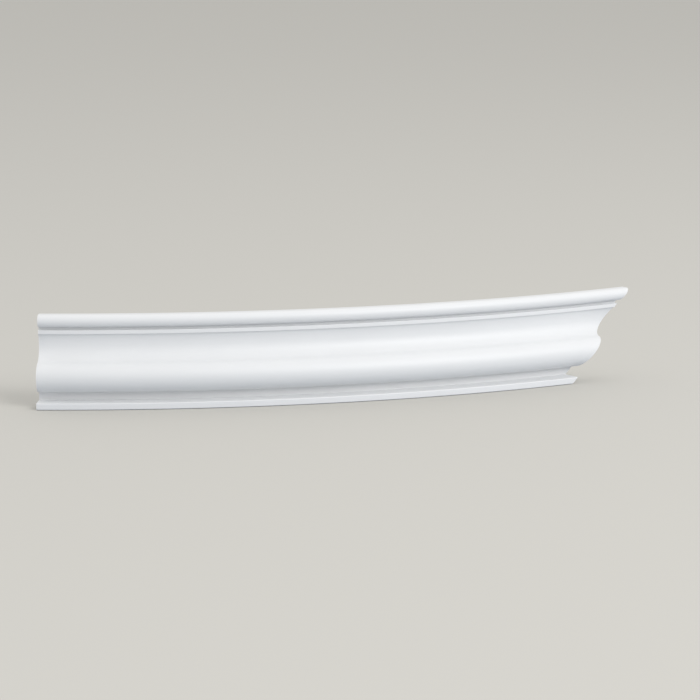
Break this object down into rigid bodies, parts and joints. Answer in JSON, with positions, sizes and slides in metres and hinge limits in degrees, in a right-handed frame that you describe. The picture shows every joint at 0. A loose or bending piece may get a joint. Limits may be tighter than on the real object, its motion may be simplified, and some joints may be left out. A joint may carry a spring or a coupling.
{
  "type": "flexible wall moulding",
  "caption": "Bent length of flexible wall moulding with bead, cyma and lip, cut square at its left end and mitred at its right, for gluing round a convex wall.",
  "frame": {"origin": "centre of the bounding box, on the level of the inner edge that the moulding stands on", "axes": "+X along the chord from the square end to the mitred end, -Y the way the moulded face looks, +Y towards the wall, +Z from the inner edge to the outer edge"},
  "size_m": [0.4208, 0.0552, 0.06],
  "materials": {
    "primed_polymer": "smooth cast flexible polymer with a white satin-matt primer"
  },
  "bodies": {
    "root": {"moulding": "primed_polymer"}
  },
  "joints": []
}
